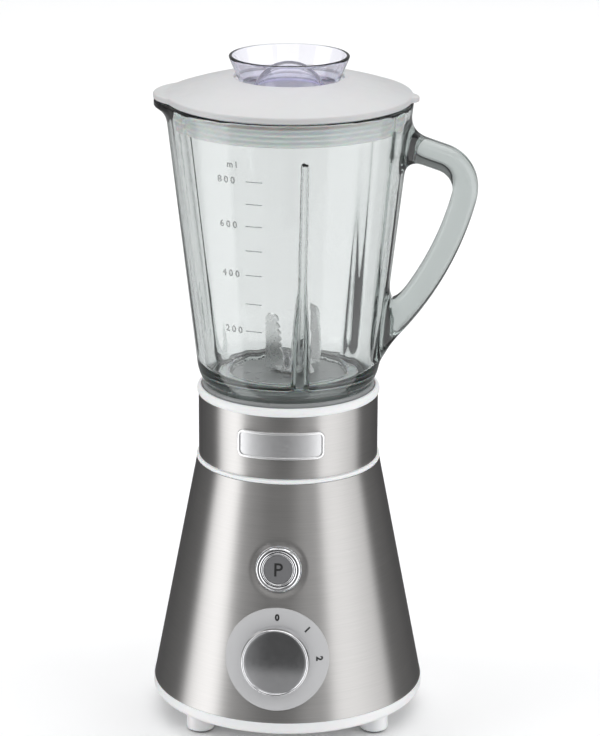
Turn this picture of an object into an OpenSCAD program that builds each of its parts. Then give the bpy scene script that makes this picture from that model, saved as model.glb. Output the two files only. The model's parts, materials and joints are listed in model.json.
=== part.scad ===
/* [Base] */
// Radius of the steel skirt at its bottom edge
base_r = 69.6; // [66:0.1:72]
// Radius of the steel skirt at its top edge
skirt_top_r = 46.8; // [46.4:0.1:47.4]
// Height of the steel skirt
skirt_h = 119.2; // [116:0.1:124]
// Sheet thickness of the skirt and the collar
sheet_t = 0.8; // [0.6:0.1:0.8]
// Radius of the steel collar under the jug
collar_r = 45.75; // [45.5:0.05:46]
// Height of the steel collar
collar_h = 32.6; // [30:0.1:36]
// Height of the white band under the skirt
band_h = 6.3; // [5.5:0.1:6.6]

/* [Feet] */
// Height of a foot with its pad
foot_h = 11.2; // [10:0.1:13]
// Radius of a foot
foot_r = 7.2; // [6.6:0.1:7.4]
// Distance of each foot from the drive axis
foot_pitch_r = 57; // [56:0.5:59]
// Angle of each foot from the line through the front and the back
foot_spread = 51.5; // [45:0.5:55]
// Turn of the foot pattern about the drive axis
foot_turn = 5; // [0:1:8]

/* [Controls] */
// Height of the pulse button's centre above the table
pulse_z = 94.6; // [93:0.1:98]
// Radius of the pulse button
pulse_r = 8.6; // [8:0.1:8.7]
// Inward travel of the pulse button
pulse_travel = 2.5; // [1.5:0.5:2.5]
// Height of the speed knob's centre above the table
knob_z = 49.8; // [48:0.1:51]
// Radius of the speed knob
knob_r = 17.5; // [16:0.1:19]
// Height of the speed knob above the skirt
knob_h = 10.6; // [10:0.1:13]
// Radius of the dial plate behind the knob
dial_r = 26.2; // [24:0.1:27]

/* [Jug] */
// Radius of the glass at the bottom of its tapered wall
jug_low_r = 46.4; // [46:0.1:47]
// Radius of the glass at its rim
jug_rim_r = 61.9; // [61:0.1:63]
// Height of the tapered wall
jug_wall_h = 134.2; // [130:0.1:138]
// Thickness of the glass wall
glass_t = 3.8; // [3.4:0.1:4]
// Distance of the spout's centre from the drive axis
spout_x = 41; // [40:0.5:42]
// Radius of the spout at the rim
spout_r = 26.5; // [25:0.5:27]
// Thickness of the handle
handle_t = 12.6; // [11:0.1:13]
// Width of the handle
handle_w = 19; // [16:0.5:21]

/* [Lid] */
// Radius of the lid plate
lid_r = 61.4; // [61:0.1:62]
// Sphere radius of the lid's crown
lid_crown_r = 181; // [175:1:190]
// Thickness of the lid plate
lid_t = 2; // [1.8:0.1:2.2]
// Radius of the measuring cap at its rim
cap_r = 29.9; // [29:0.1:30]
// Height of the cap's rim above the lid's opening
cap_rise = 10.5; // [9:0.1:12]

/* [Motor] */
// Radius of the rotor core
rotor_r = 15.4; // [15:0.1:15.5]
// Height of the laminated stack
stack_h = 28; // [24:1:28]

/* [Hidden] */
FEET = [for (i = [1:4]) str("foot_", i)];
PADS = [for (i = [1:4]) str("foot_pad_", i)];

$fn = 96;

// Cord gland and cover screws
gland_z = foot_h + band_h + 11.5;
gland_r = 6;
gland_bore_r = 3.6;
gland_lip_r = 7.6;
cover_screw_r = 50;

// Stacked heights of the outer pieces
mid_h = 2.4;
seat_ring_h = 4.2;
z_cover = foot_h;
z_skirt = z_cover + band_h;
z_mid = z_skirt + skirt_h;
z_collar = z_mid + mid_h;
z_seat = z_collar + collar_h;
z_rim = z_seat + seat_ring_h;

// Housing under the steel
housing_gap = 0.2;
housing_t = 2.2;
neck_r = collar_r - sheet_t - 0.25;
neck_in_r = neck_r - 2.2;
skirt_tilt = atan((base_r - skirt_top_r) / skirt_h);
seat_bottom = z_rim - 22.8;
seat_floor = seat_bottom + 2.5;
socket_r = neck_r - 2.3;
recess_r = socket_r + 2;
recess_z = z_rim - 2.4;

// Motor
shaft_r = 3;
stack_z = z_skirt + 65.5;
stack_top = stack_z + stack_h;
upper_bar_z = stack_top + 10;
lower_bar_z = z_skirt + 37.5;
bar_t = 3;
stack_x = 58;
stack_y = 46;
bolt_y = 19.5;
brush_z = z_skirt + 50.5;
mount_pitch = 32;
grommet_top = upper_bar_z + bar_t + 3.8;
fan_z = z_skirt + 17.5;

// Drive coupling and blades
dog_r = 12;
drive_z = z_rim - 18.3;
drive_disc_h = 4.7;
dog_h = 4.5;
driven_z = drive_z + drive_disc_h + 0.8;
shaft_top = drive_z + 7;
hub_low = z_rim - 3.3;
hub_top = z_rim + 7.2;
washer_z = hub_top + 0.4;
lower_blade_z = washer_z + 0.8;
blade_t = 1.4;
upper_blade_z = lower_blade_z + blade_t;
nut_z = upper_blade_z + blade_t;
nut_h = 3.8;

// Jug heights
foot_low = z_rim - 10.8;
foot_step = z_rim - 0.4;
foot_top = z_rim + 1.6;
z_wall = z_rim + 12.7;
z_glass = z_wall + jug_wall_h;
glass_floor = z_rim + 7.7;
glass_under = z_rim + 0.8;
hole_r = 29.7;
neck_glass_r = 40.3;
neck_bore_r = 36.4;
glass_in_r = glass_floor + 7.5;
nut_flange_r = recess_r - 0.5;

// Handle: two arcs that meet smoothly, in the plane through the drive axis
bend_x = 71.8;
bend_z = z_glass - 43.3;
bend_r = 16.3;
bend_top = 71.6;
bend_end = -14;
sweep_r = 157;
sweep_end = -46;
sweep_x = bend_x - (sweep_r - bend_r) * cos(bend_end);
sweep_z = bend_z - (sweep_r - bend_r) * sin(bend_end);
top_bar = 22;

// The neighbours of the handle's bend reach a hair into it, with a section a hair smaller
seam = 0.3;
seam_shrink = 0.08;

// Lid heights
z_lid = z_glass + 1.2;
crown_z = z_lid + lid_t - sqrt(pow(lid_crown_r, 2) - pow(lid_r, 2));
lid_hole_r = 27.4;
lid_top = crown_z + sqrt(pow(lid_crown_r, 2) - pow(lid_hole_r, 2));
chimney_r = 25.2;
chimney_low = lid_top - 20;
seal_low = z_lid - 13.1;
plug_r = 53.6;
cap_top = lid_top + cap_rise;
cap_neck_r = 24.4;
cap_neck_z = cap_top - 14.4;
cap_low = chimney_low + 1.8;
cap_t = 1.6;

function skirt_r(z) = base_r - (base_r - skirt_top_r) * (z - z_skirt) / skirt_h;
function glass_r(z) = jug_low_r + (jug_rim_r - jug_low_r) * (z - z_wall) / jug_wall_h;

// Points of an arc of radius r from p to q, bulging to the right of the way from p to q
function arc_points(p, q, r, n = 6) =
    let (
        d = q - p,
        half = norm(d) / 2,
        side = [-d[1], d[0]] / norm(d),
        c = (p + q) / 2 + side * sqrt(r * r - half * half),
        a = atan2(p[1] - c[1], p[0] - c[0]),
        sweep = 2 * asin(half / r)
    )
    [for (i = [0:n]) c + r * [cos(a + sweep * i / n), sin(a + sweep * i / n)]];

// Turned ring of rectangular section
module ring(r_in, r_out, z0, z1) {
    translate([0, 0, z0])
        difference() {
            cylinder(h = z1 - z0, r = r_out);
            translate([0, 0, -1])
                cylinder(h = z1 - z0 + 2, r = r_in);
        }
}

// Turned solid from an outline of [radius, height] points
module turned(points) {
    rotate_extrude()
        polygon(points);
}

// Flat outline with round corners, built from squares and circles
module round_rect(x, y, r) {
    square([x - 2 * r, y], center = true);
    square([x, y - 2 * r], center = true);
    for (sx = [-1, 1], sy = [-1, 1])
        translate([sx * (x / 2 - r), sy * (y / 2 - r)])
            circle(r = r, $fn = 32);
}

// Puts children on the skirt's front at height z, their +Z along the skirt's outward normal
module on_skirt(z) {
    translate([0, -skirt_r(z), z])
        rotate([90 - skirt_tilt, 0, 0])
            children();
}

// Repeats children around the drive axis
module around(count, start = 0) {
    for (i = [0:count - 1])
        rotate([0, 0, start + i * 360 / count])
            children();
}

// Cord gland opening through the back of the skirt
module gland_cut(r) {
    translate([0, 45, gland_z])
        rotate([-90, 0, 0])
            cylinder(h = 40, r = r);
}

// ---- Base casing ----

module bottom_cover() {
    lip = 1.8;
    floor_t = 2.2;
    boss_h = 5;
    color("white")
        difference() {
            union() {
                turned(concat(
                    [[0, z_cover], [base_r - lip - 0.3, z_cover]],
                    arc_points([base_r - lip, z_cover], [base_r + 0.3, z_cover + 2.2], 2.4),
                    [[base_r + 0.3, z_skirt], [base_r - 4.6, z_skirt]],
                    [[base_r - 4.6, z_cover + floor_t], [0, z_cover + floor_t]]
                ));
                around(4, foot_turn)
                    translate([cover_screw_r, 0, z_cover])
                        cylinder(h = boss_h, r = 6);
            }
            around(4, foot_turn)
                translate([cover_screw_r, 0, 0]) {
                    cylinder(h = 30, r = 1.8);
                    cylinder(h = z_cover + 2.5, r = 3.8);
                }
            for (i = [1:4])
                rotate([0, 0, foot_angle(i)])
                    translate([foot_pitch_r, 0, 0])
                        cylinder(h = 30, r = 2.5);
            around(12, 15)
                translate([29, 0, z_cover])
                    cube([22, 3, 20], center = true);
        }
}

// Feet 1 and 2 are at the front, 3 and 4 at the back
function foot_angle(i) =
    foot_turn + (i < 3 ? -90 : 90) + (i % 2 == 0 ? foot_spread : -foot_spread);

module foot(i) {
    color("white")
        rotate([0, 0, foot_angle(i)])
            translate([foot_pitch_r, 0, 0])
                turned([
                    [0, 1.6], [foot_r - 1.2, 1.6], [foot_r - 1.2, 0.8], [foot_r - 0.6, 0.8],
                    [foot_r, 1.6], [foot_r, z_cover], [2.5, z_cover],
                    [2.5, z_cover + 3.4], [0, z_cover + 3.4]
                ]);
}

module foot_pad(i) {
    color("dimgray")
        rotate([0, 0, foot_angle(i)])
            translate([foot_pitch_r, 0, 0])
                turned([[0, 0], [foot_r - 1.6, 0], [foot_r - 1.2, 0.4], [foot_r - 1.2, 1.6], [0, 1.6]]);
}

module base_skirt() {
    color("silver")
        difference() {
            turned([
                [base_r - sheet_t, z_skirt], [base_r, z_skirt],
                [skirt_top_r, z_mid], [skirt_top_r - sheet_t, z_mid]
            ]);
            on_skirt(pulse_z)
                cylinder(h = 30, r = pulse_r + 2.65, center = true);
            on_skirt(knob_z)
                cylinder(h = 30, r = 5.2, center = true);
            gland_cut(gland_r + 0.1);
        }
}

module mid_ring() {
    color("white")
        turned(concat(
            [[neck_r + 0.1, z_mid - 1.6], [skirt_top_r - sheet_t - 0.2, z_mid - 1.6]],
            [[skirt_top_r - sheet_t - 0.2, z_mid], [skirt_top_r - 0.4, z_mid]],
            arc_points([skirt_top_r - 0.1, z_mid + 0.3], [skirt_top_r - 0.1, z_collar - 0.3], 2, 4),
            [[collar_r - 0.1, z_collar], [neck_r + 0.1, z_collar]]
        ));
}

module collar_band() {
    color("silver")
        ring(collar_r - sheet_t, collar_r, z_collar, z_seat);
}

module badge_plate() {
    badge_z = z_collar + 17.6;
    badge_w = 43.8;
    badge_h = 14.2;
    border = 1.3;
    color("gainsboro")
        difference() {
            intersection() {
                ring(collar_r, collar_r + 1.3, z_collar, z_seat);
                translate([0, -30, badge_z])
                    rotate([90, 0, 0])
                        linear_extrude(height = 30)
                            round_rect(badge_w, badge_h, 3.4);
            }
            intersection() {
                ring(collar_r + 0.7, collar_r + 3, z_collar, z_seat);
                translate([0, -30, badge_z])
                    rotate([90, 0, 0])
                        linear_extrude(height = 30)
                            round_rect(badge_w - 2 * border, badge_h - 2 * border, 2.3);
            }
        }
}

module jug_seat() {
    color("white")
        difference() {
            union() {
                turned(concat(
                    [[13.5, seat_bottom], [neck_r, seat_bottom], [neck_r, z_seat], [collar_r + 0.1, z_seat]],
                    arc_points([collar_r + 0.45, z_seat + 0.4], [collar_r - 0.5, z_rim], 2.9),
                    [[recess_r, z_rim], [recess_r, recess_z], [socket_r, recess_z]],
                    [[socket_r, seat_floor], [13.5, seat_floor]]
                ));
                around(4)
                    translate([mount_pitch, 0, grommet_top])
                        cylinder(h = seat_bottom - grommet_top + 1, r = 4.5);
            }
            around(4)
                translate([mount_pitch, 0, grommet_top - 1])
                    cylinder(h = 14, r = 1.9);
        }
}

module inner_housing() {
    z_low = z_skirt + 0.5;
    outer = sheet_t + housing_gap;
    inner = outer + housing_t;
    z_step = z_mid - 2.2;
    boss_z = z_cover + 5.6;
    post_x = 13;
    switch_x = 17;
    color("whitesmoke")
        difference() {
            union() {
                turned([
                    [skirt_r(z_low) - inner, z_low], [skirt_r(z_low) - outer, z_low],
                    [skirt_r(z_step) - outer, z_step], [neck_r, z_step],
                    [neck_r, seat_bottom - 0.2], [neck_in_r, seat_bottom - 0.2],
                    [neck_in_r, z_step - 2.4], [skirt_r(z_step - 2.4) - inner, z_step - 2.4]
                ]);
                around(4, foot_turn)
                    translate([cover_screw_r, 0, boss_z])
                        cylinder(h = 11.4, r = 4.2);
                around(4, foot_turn)
                    translate([cover_screw_r + 3, -1.2, z_low])
                        cube([skirt_r(z_low + 4.5) - inner - cover_screw_r - 2, 2.4, 4.5]);
                on_skirt(pulse_z)
                    for (side = [-1, 1])
                        translate([side * post_x, 0, -9.4])
                            cylinder(h = 6.4, r = 3);
                on_skirt(knob_z)
                    for (side = [-1, 1])
                        translate([side * switch_x, 0, -9.4])
                            cylinder(h = 5.6, r = 3);
            }
            around(4, foot_turn)
                translate([cover_screw_r, 0, 0])
                    cylinder(h = z_cover + 15, r = 1.5);
            on_skirt(pulse_z) {
                cylinder(h = 30, r = pulse_r + 1.3, center = true);
                translate([0, 0, -2.4])
                    cylinder(h = 20, r = pulse_r + 2.8);
            }
            on_skirt(knob_z)
                cylinder(h = 30, r = 5.15, center = true);
            gland_cut(gland_r + 0.1);
        }
}

// Rubber grommet: a sleeve in the hole, and a lip that lies against the sloping skirt
module cord_gland() {
    back = skirt_r(gland_z);
    lip_end = back + 2.2;
    color("dimgray") {
        translate([0, 0, gland_z])
            rotate([-90, 0, 0])
                ring(gland_bore_r, gland_r, back - 9, lip_end - 0.4);
        difference() {
            translate([0, 0, gland_z])
                rotate([-90, 0, 0])
                    turned(concat(
                        [[gland_bore_r, back - 1], [gland_lip_r, back - 1]],
                        arc_points([gland_lip_r, back + 0.9], [gland_r - 0.2, lip_end], 2.2),
                        [[gland_bore_r, lip_end]]
                    ));
            turned([
                [0, z_skirt], [base_r + 0.05, z_skirt],
                [skirt_top_r + 0.05, z_mid], [0, z_mid]
            ]);
        }
    }
}

module terminal_block() {
    color("ivory")
        translate([0, 34, z_cover + 2.2])
            difference() {
                translate([-14, -6, 0])
                    cube([28, 12, 12]);
                for (i = [-1:1])
                    translate([i * 8.5, 0, 3])
                        cylinder(h = 20, r = 2.4);
                for (i = [-1:1])
                    translate([i * 8.5, 0, 6])
                        rotate([90, 0, 0])
                            cylinder(h = 20, r = 1.7, center = true);
            }
}

module cover_screws() {
    color("gray")
        around(4, foot_turn)
            translate([cover_screw_r, 0, z_cover + 0.4]) {
                cylinder(h = 2.1, r = 3.4);
                cylinder(h = 14.5, r = 1.5);
            }
}

// ---- Controls ----

module dial_plate() {
    plate_t = 0.7;
    lift = 0.05;
    color("lightgray")
        difference() {
            intersection() {
                turned([
                    [base_r + lift, z_skirt], [base_r + lift + plate_t, z_skirt],
                    [skirt_top_r + lift + plate_t, z_mid], [skirt_top_r + lift, z_mid]
                ]);
                on_skirt(knob_z)
                    cylinder(h = 30, r = dial_r, center = true);
            }
            on_skirt(knob_z)
                cylinder(h = 30, r = 5.2, center = true);
        }
}

module pulse_bezel() {
    color("lightgray")
        on_skirt(pulse_z)
            turned(concat(
                [[pulse_r + 0.3, -2.6], [pulse_r + 1.1, -2.6], [pulse_r + 1.1, -2.2]],
                [[pulse_r + 2.5, -2.2], [pulse_r + 2.6, 0.8]],
                arc_points([pulse_r + 2.4, 1.2], [pulse_r + 0.5, 1.6], 1.3),
                [[pulse_r + 0.3, 1.3]]
            ));
}

module pulse_button() {
    color("silver")
        on_skirt(pulse_z)
            turned(concat(
                [[0, -10.2], [2.5, -10.2], [2.5, -1.6], [pulse_r - 1.3, -1.6]],
                [[pulse_r - 1.3, -6], [pulse_r, -6], [pulse_r, 0.7]],
                [[pulse_r - 0.5, 1.2], [pulse_r - 1.2, 1.2], [pulse_r - 1.2, 0.2], [0, 0.2]]
            ));
}

module pulse_insert() {
    color("dimgray")
        on_skirt(pulse_z)
            translate([0, 0, 0.25])
                cylinder(h = 0.75, r = pulse_r - 1.3);
}

// Coil of round wire along +Z
module coil(r, wire_r, height, turns) {
    sides = 8;
    steps = turns * 16;
    rings = [
        for (i = [0:steps])
            let (a = 360 * turns * i / steps, z = height * i / steps)
            [for (j = [0:sides - 1])
                let (b = 360 * j / sides, rr = r + wire_r * cos(b))
                [rr * cos(a), rr * sin(a), z + wire_r * sin(b)]]
    ];
    points = [for (row = rings) each row];
    walls = [
        for (i = [0:steps - 1], j = [0:sides - 1])
            let (k = (j + 1) % sides)
            [i * sides + j, (i + 1) * sides + j, (i + 1) * sides + k, i * sides + k]
    ];
    first = [for (j = [0:sides - 1]) j];
    last = [for (j = [sides - 1:-1:0]) steps * sides + j];
    polyhedron(points, concat(walls, [first, last]));
}

module pulse_spring() {
    color("silver")
        on_skirt(pulse_z)
            translate([0, 0, -8.8])
                coil(4.9, 0.45, 6.6, 5);
}

module pulse_switch() {
    plunger_room = pulse_travel + 1.4;
    color("dimgray")
        on_skirt(pulse_z)
            difference() {
                union() {
                    translate([-10, -7, -23])
                        cube([20, 14, 13.6]);
                    translate([-16.5, -5, -12])
                        cube([33, 10, 2.5]);
                }
                translate([0, 0, -9.4 - plunger_room])
                    cylinder(h = 20, r = 3.2);
            }
}

module knob_rim() {
    low = 1.2;
    face = knob_h - 1.8;
    color("silver")
        on_skirt(knob_z)
            difference() {
                turned(concat(
                    [[0, 2.6], [6.2, 2.6], [6.2, face - 1.2], [knob_r - 2, face - 1.2]],
                    [[knob_r - 2, low], [knob_r - 0.4, low], [knob_r, low + 0.6]],
                    arc_points([knob_r - 0.2, face - 0.6], [knob_r - 1.3, face + 1.1], 2.2),
                    [[knob_r - 1.6, face + 1.1], [knob_r - 1.6, face], [0, face]]
                ));
                translate([0, 0, 2])
                    cylinder(h = 5.4, r = shaft_r);
            }
}

module knob_face() {
    face = knob_h - 1.8;
    edge = knob_r - 1.7;
    color("gray")
        on_skirt(knob_z)
            turned(concat(
                [[0, face]],
                arc_points([edge, face], [edge, face + 0.7], 3, 2),
                arc_points([edge - 0.2, face + 0.8], [0, knob_h], 126, 4)
            ));
}

module switch_shaft() {
    color("silver")
        on_skirt(knob_z)
            translate([0, 0, -20])
                cylinder(h = 27.4, r = shaft_r);
}

module rotary_switch() {
    color("dimgray")
        on_skirt(knob_z)
            difference() {
                union() {
                    translate([-13, -13, -30])
                        cube([26, 26, 20.5]);
                    translate([-20, -4, -12])
                        cube([40, 8, 2.5]);
                    translate([0, 0, -10])
                        cylinder(h = 11, r = 5.1);
                }
                translate([0, 0, -20.5])
                    cylinder(h = 30, r = shaft_r + 0.05);
            }
}

// ---- Motor ----

module stack_outline() {
    difference() {
        round_rect(stack_x, stack_y, 6);
        circle(r = 16);
        for (sx = [-1, 1], sy = [-1, 1])
            translate([sx * 18, sy * 14.5])
                square([10.4, 6.6], center = true);
        for (sy = [-1, 1])
            translate([0, sy * bolt_y])
                circle(r = 1.7, $fn = 32);
    }
}

module stator_core() {
    color("slategray")
        translate([0, 0, stack_z])
            linear_extrude(height = stack_h)
                stack_outline();
}

module field_coils() {
    color("peru")
        for (side = [-1, 1])
            translate([side * 18, 0, stack_z + stack_h / 2])
                difference() {
                    cube([10, 35.2, stack_h + 12], center = true);
                    cube([20, 22.8, stack_h + 0.4], center = true);
                }
}

module upper_bracket() {
    color("lightsteelblue")
        difference() {
            union() {
                translate([-37, -6.5, upper_bar_z])
                    cube([74, 13, bar_t]);
                translate([-6.5, -37, upper_bar_z])
                    cube([13, 74, bar_t]);
                translate([0, 0, upper_bar_z - 3])
                    cylinder(h = 9, r = 11);
                for (side = [-1, 1])
                    translate([0, side * bolt_y, stack_top])
                        cylinder(h = upper_bar_z - stack_top + 1, r = 3.2);
            }
            translate([0, 0, upper_bar_z - 10])
                cylinder(h = 30, r = 8);
            for (side = [-1, 1])
                translate([0, side * bolt_y, stack_top - 1])
                    cylinder(h = 20, r = 1.7);
            around(4)
                translate([mount_pitch, 0, upper_bar_z - 1])
                    cylinder(h = 10, r = 4);
        }
}

module lower_bracket() {
    color("lightsteelblue")
        difference() {
            union() {
                translate([-28, -6, lower_bar_z])
                    cube([56, 12, bar_t]);
                translate([-6.5, -23.5, lower_bar_z])
                    cube([13, 47, bar_t]);
                translate([0, 0, lower_bar_z - 4])
                    cylinder(h = 9, r = 11);
                for (side = [-1, 1])
                    translate([0, side * bolt_y, lower_bar_z])
                        cylinder(h = stack_z - lower_bar_z, r = 3.2);
                for (side = [-1, 1])
                    translate([side * 21 - 2.5, -4, lower_bar_z])
                        cube([5, 8, brush_z - 4.6 - lower_bar_z]);
            }
            translate([0, 0, lower_bar_z - 10])
                cylinder(h = 30, r = 8);
            for (side = [-1, 1])
                translate([0, side * bolt_y, lower_bar_z - 1])
                    cylinder(h = 40, r = 1.7);
        }
}

module bearing(z) {
    color("goldenrod")
        ring(shaft_r + 0.04, 8, z, z + 8);
}

module upper_bearing() {
    bearing(upper_bar_z - 2.5);
}

module lower_bearing() {
    bearing(lower_bar_z - 3.5);
}

module brush_holders() {
    color("goldenrod")
        for (side = [-1, 1])
            translate([side * 19.5, 0, brush_z])
                difference() {
                    cube([15, 9.2, 9.2], center = true);
                    translate([-side * 1.5, 0, 0])
                        cube([15, 6.4, 6.4], center = true);
                }
}

module carbon_brushes() {
    color("darkslategray")
        for (side = [-1, 1])
            translate([side * 15.3, 0, brush_z])
                cube([10, 6.3, 6.3], center = true);
}

module rubber_mounts() {
    low = upper_bar_z - 3.2;
    color("dimgray")
        around(4)
            translate([mount_pitch, 0, 0])
                turned([
                    [1.95, low], [5.6, low], [6, upper_bar_z - 0.02], [3.96, upper_bar_z - 0.02],
                    [3.96, upper_bar_z + bar_t + 0.02], [6, upper_bar_z + bar_t + 0.02],
                    [5.6, grommet_top], [1.95, grommet_top]
                ]);
}

module mount_screws() {
    low = upper_bar_z - 3.2;
    color("gray")
        around(4)
            translate([mount_pitch, 0, low - 2.6]) {
                cylinder(h = 2.6, r = 3.6);
                cylinder(h = 20, r = 1.9);
            }
}

module motor_screws() {
    length = upper_bar_z + bar_t - lower_bar_z + 3;
    color("gray")
        for (side = [-1, 1])
            translate([0, side * bolt_y, lower_bar_z - 2.4]) {
                cylinder(h = 2.4, r = 3);
                cylinder(h = length, r = 1.65);
            }
}

module motor_shaft() {
    color("silver")
        translate([0, 0, fan_z - 2])
            cylinder(h = shaft_top - fan_z + 2, r = shaft_r);
}

module rotor_core() {
    color("slategray")
        translate([0, 0, stack_z])
            linear_extrude(height = stack_h)
                difference() {
                    circle(r = rotor_r);
                    circle(r = shaft_r);
                    around(12)
                        translate([rotor_r - 2.6, 0])
                            circle(r = 1.5, $fn = 24);
                    around(12)
                        translate([rotor_r, 0])
                            square([5, 1.2], center = true);
                }
}

module rotor_windings() {
    color("peru") {
        ring(shaft_r, 12.3, stack_z - 5, stack_z);
        ring(shaft_r, 12.3, stack_top, stack_top + 5);
    }
}

module commutator() {
    color("peru")
        translate([0, 0, brush_z - 6])
            linear_extrude(height = 12)
                difference() {
                    circle(r = 10);
                    circle(r = shaft_r);
                    around(24)
                        translate([10, 0])
                            square([1.6, 0.5], center = true);
                }
}

module cooling_fan() {
    color("ivory")
        difference() {
            union() {
                translate([0, 0, fan_z + 9])
                    cylinder(h = 1.6, r = 24);
                translate([0, 0, fan_z])
                    cylinder(h = 10.6, r = 6);
                around(9)
                    translate([4, -0.7, fan_z + 1])
                        cube([19.4, 1.4, 8.5]);
            }
            translate([0, 0, fan_z - 1])
                cylinder(h = 20, r = shaft_r);
        }
}

// ---- Drive coupling ----

// Three sector-shaped dogs on a ring
module dogs(start) {
    around(3, start)
        rotate([0, 0, -19])
            rotate_extrude(angle = 38)
                translate([5.2, 0])
                    square([dog_r - 5.8, dog_h]);
}

module drive_coupling() {
    color("dimgray")
        translate([0, 0, drive_z])
            difference() {
                union() {
                    cylinder(h = drive_disc_h, r = dog_r);
                    translate([0, 0, drive_disc_h - 0.2])
                        dogs(0);
                }
                translate([0, 0, -1])
                    cylinder(h = 10, r = shaft_r);
            }
}

module driven_coupling() {
    color("dimgray")
        translate([0, 0, driven_z])
            difference() {
                union() {
                    translate([0, 0, dog_h - 0.2])
                        cylinder(h = 4, r = dog_r);
                    dogs(60);
                }
                translate([0, 0, 1])
                    cylinder(h = 10, r = shaft_r);
            }
}

// ---- Jug ----

module handle_section(shrink) {
    round_rect(handle_t - shrink, handle_w - shrink, 4.5);
}

module handle_arc(x, z, r, from, to, shrink) {
    translate([x, 0, z])
        rotate([90, 0, 0])
            rotate_extrude(angle = to - from, start = from)
                translate([r, 0])
                    handle_section(shrink);
}

module handle() {
    seam_angle = seam / sweep_r * 180 / PI;
    handle_arc(bend_x, bend_z, bend_r, bend_end, bend_top, 0);
    handle_arc(sweep_x, sweep_z, sweep_r, sweep_end, bend_end + seam_angle, seam_shrink);
    translate([bend_x + bend_r * cos(bend_top), 0, bend_z + bend_r * sin(bend_top)])
        rotate([0, -bend_top, 0])
            translate([0, 0, -seam])
                linear_extrude(height = top_bar + seam)
                    handle_section(seam_shrink);
}

// Spout: a short cone that widens upwards, with a straight lip on top
module spout(r) {
    cone_h = 6;
    cone_w = 8;
    lip_h = 3.4;
    translate([-spout_x, 0, z_glass - lip_h - cone_h])
        cylinder(h = cone_h, r1 = r - cone_w, r2 = r);
    translate([-spout_x, 0, z_glass - lip_h])
        cylinder(h = lip_h, r = r);
}

module jug_outside() {
    turned(concat(
        [[0, foot_low], [neck_glass_r, foot_low], [neck_glass_r, foot_step]],
        [[neck_glass_r + 2, foot_step], [neck_glass_r + 2, foot_top]],
        arc_points([neck_glass_r + 2.2, foot_top + 0.3], [jug_low_r, z_wall], 22, 5),
        arc_points([jug_rim_r - 0.1, z_glass - 1.2], [jug_rim_r - 1.4, z_glass], 1.4, 4),
        [[0, z_glass]]
    ));
}

module jug_inside() {
    top_r = jug_rim_r - glass_t;
    wall_r = glass_r(glass_in_r) - glass_t;
    turned(concat(
        [[0, glass_floor], [36, glass_floor]],
        arc_points([wall_r - 5.5, glass_floor], [wall_r, glass_in_r], 8, 5),
        [[top_r, z_glass], [top_r, z_glass + 10], [0, z_glass + 10]]
    ));
    translate([0, 0, foot_low - 1])
        cylinder(h = 40, r = hole_r);
    translate([0, 0, foot_low - 1])
        cylinder(h = glass_under - foot_low + 1, r = neck_bore_r);
}

// Upright rib on the inside of the glass, wider and deeper towards the bottom
module rib() {
    low_r = 35;
    high_r = 54;
    wide = 3.4;
    thin = 1.4;
    rib_low = glass_floor - 2;
    rib_high = z_glass - 21;
    lean = atan((high_r - low_r) / (rib_high - rib_low));
    length = norm([high_r - low_r, rib_high - rib_low]);
    translate([low_r, 0, rib_low])
        rotate([0, lean, 0]) {
            cylinder(h = length, r1 = wide, r2 = thin, $fn = 32);
            rotate([90, 0, 90])
                linear_extrude(height = 12)
                    polygon([[-wide, 0], [wide, 0], [thin, length], [-thin, length]]);
        }
}

module jug_glass() {
    rib_start = -77;
    color("lightcyan", 0.4) {
        difference() {
            union() {
                jug_outside();
                handle();
                spout(spout_r);
            }
            jug_inside();
            translate([0, 0, 4])
                spout(spout_r - glass_t + 0.4);
        }
        intersection() {
            around(3, rib_start)
                rib();
            turned([
                [0, glass_floor - 1], [glass_r(glass_floor + 2) - 3, glass_floor - 1],
                [jug_rim_r - 1.5, z_glass], [0, z_glass]
            ]);
        }
    }
}

module blade_base() {
    wall_in = neck_glass_r + 0.4;
    body_r = socket_r - 0.4;
    color("white")
        turned([
            [5.5, hub_low], [9, hub_low], [9, z_rim + 3], [27, z_rim + 3],
            [27, z_rim - 5.8], [33.5, z_rim - 5.8], [33.5, z_rim - 13.2], [39, z_rim - 13.2],
            [39, z_rim - 18.6], [body_r, z_rim - 18.6], [body_r, recess_z + 0.3],
            [nut_flange_r, recess_z + 0.3], [nut_flange_r, z_rim + 1.5], [nut_flange_r - 0.4, z_rim + 1.9],
            [neck_glass_r + 2.4, z_rim + 1.9], [neck_glass_r + 2.4, z_rim - 0.6], [wall_in, z_rim - 0.6],
            [wall_in, z_rim - 11.2], [neck_bore_r - 0.4, z_rim - 11.2], [neck_bore_r - 0.4, z_rim - 2.4],
            [hole_r - 0.4, z_rim - 2.4], [hole_r - 0.4, z_rim + 4.7], [hole_r - 1.2, z_rim + 5.5],
            [9.5, z_rim + 6.4], [8.5, hub_top], [5.5, hub_top]
        ]);
}

module jug_gasket() {
    color("whitesmoke")
        ring(hole_r + 0.4, neck_bore_r - 0.6, z_rim - 2.4, glass_under);
}

module blade_bush() {
    color("goldenrod")
        ring(shaft_r + 0.04, 5.5, hub_low - 0.2, hub_top + 0.2);
}

module blade_shaft() {
    color("silver")
        translate([0, 0, shaft_top + 1])
            cylinder(h = nut_z + nut_h + 1 - shaft_top, r = shaft_r);
}

module blade_washer() {
    color("silver")
        ring(shaft_r, 6.5, washer_z, lower_blade_z);
}

module blade_nut() {
    color("silver")
        translate([0, 0, nut_z])
            difference() {
                intersection() {
                    cylinder(h = nut_h, r = 6.2, $fn = 6);
                    cylinder(h = nut_h, r1 = 6.2, r2 = 5.2);
                }
                translate([0, 0, -1])
                    cylinder(h = 10, r = shaft_r);
            }
}

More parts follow.
